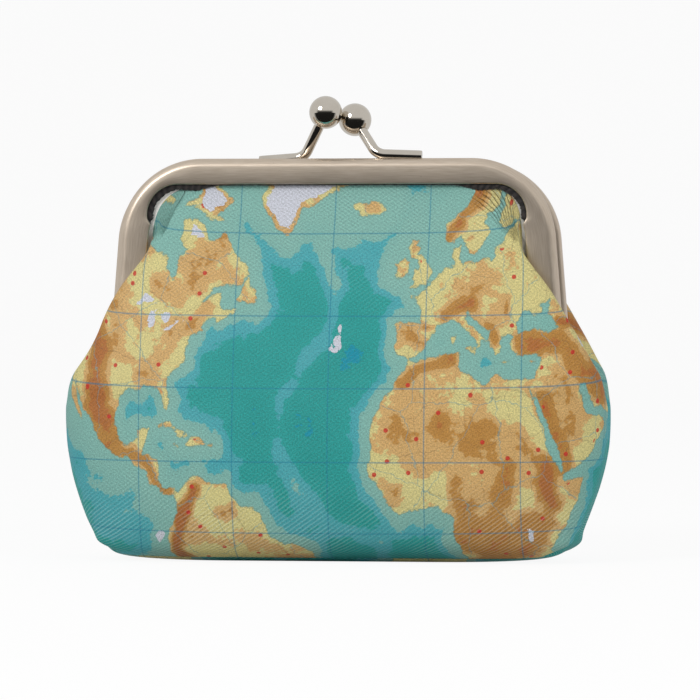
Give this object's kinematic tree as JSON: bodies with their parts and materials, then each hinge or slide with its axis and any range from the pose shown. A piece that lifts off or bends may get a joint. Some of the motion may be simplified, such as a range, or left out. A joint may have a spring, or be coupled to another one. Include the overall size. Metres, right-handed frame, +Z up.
{
  "type": "kiss lock coin purse",
  "caption": "Coin purse of printed canvas: a lined two-panel pouch jammed into a hinged metal frame that snaps shut with crossed ball clasps",
  "frame": {"origin": "middle of the closed, standing purse's bounding box, on the surface that its base rests on", "axes": "+X across the purse, to the right seen from the front, +Y from the front to the back, +Z up; the two frame halves meet at Y = 0"},
  "size_m": [0.1038, 0.036, 0.0887],
  "materials": {
    "printed_canvas": "coated, fine cross hatched emboss",
    "lining": "matte woven",
    "filler_cord": "matte twisted",
    "frame_metal": "satin warm nickel",
    "clasp_metal": "polished warm nickel"
  },
  "bodies": {
    "pouch": {"front_panel": "printed_canvas", "back_panel": "printed_canvas", "front_lining": "lining", "back_lining": "lining"},
    "front_half": {"front_frame": "frame_metal", "front_filler_cord": "filler_cord", "front_clasp_stem": "clasp_metal", "front_clasp_ball": "clasp_metal"},
    "back_half": {"back_frame": "frame_metal", "back_filler_cord": "filler_cord", "back_clasp_stem": "clasp_metal", "back_clasp_ball": "clasp_metal", "hinge_rivet_left": "frame_metal", "hinge_rivet_right": "frame_metal"}
  },
  "joints": [
    {"name": "front_half_open", "type": "hinge", "parent": "pouch", "child": "front_half", "pos_m": [0, 0, 0.0332], "axis": [1, 0, 0], "range_deg": [0, 45], "deforming": ["front_panel", "front_lining"]},
    {"name": "back_half_open", "type": "hinge", "parent": "pouch", "child": "back_half", "pos_m": [0, 0, 0.0332], "axis": [-1, 0, 0], "range_deg": [0, 45], "deforming": ["back_panel", "back_lining"]}
  ],
  "couplings": [
    {"joint": "back_half_open", "follows": "front_half_open", "ratio": 1}
  ]
}
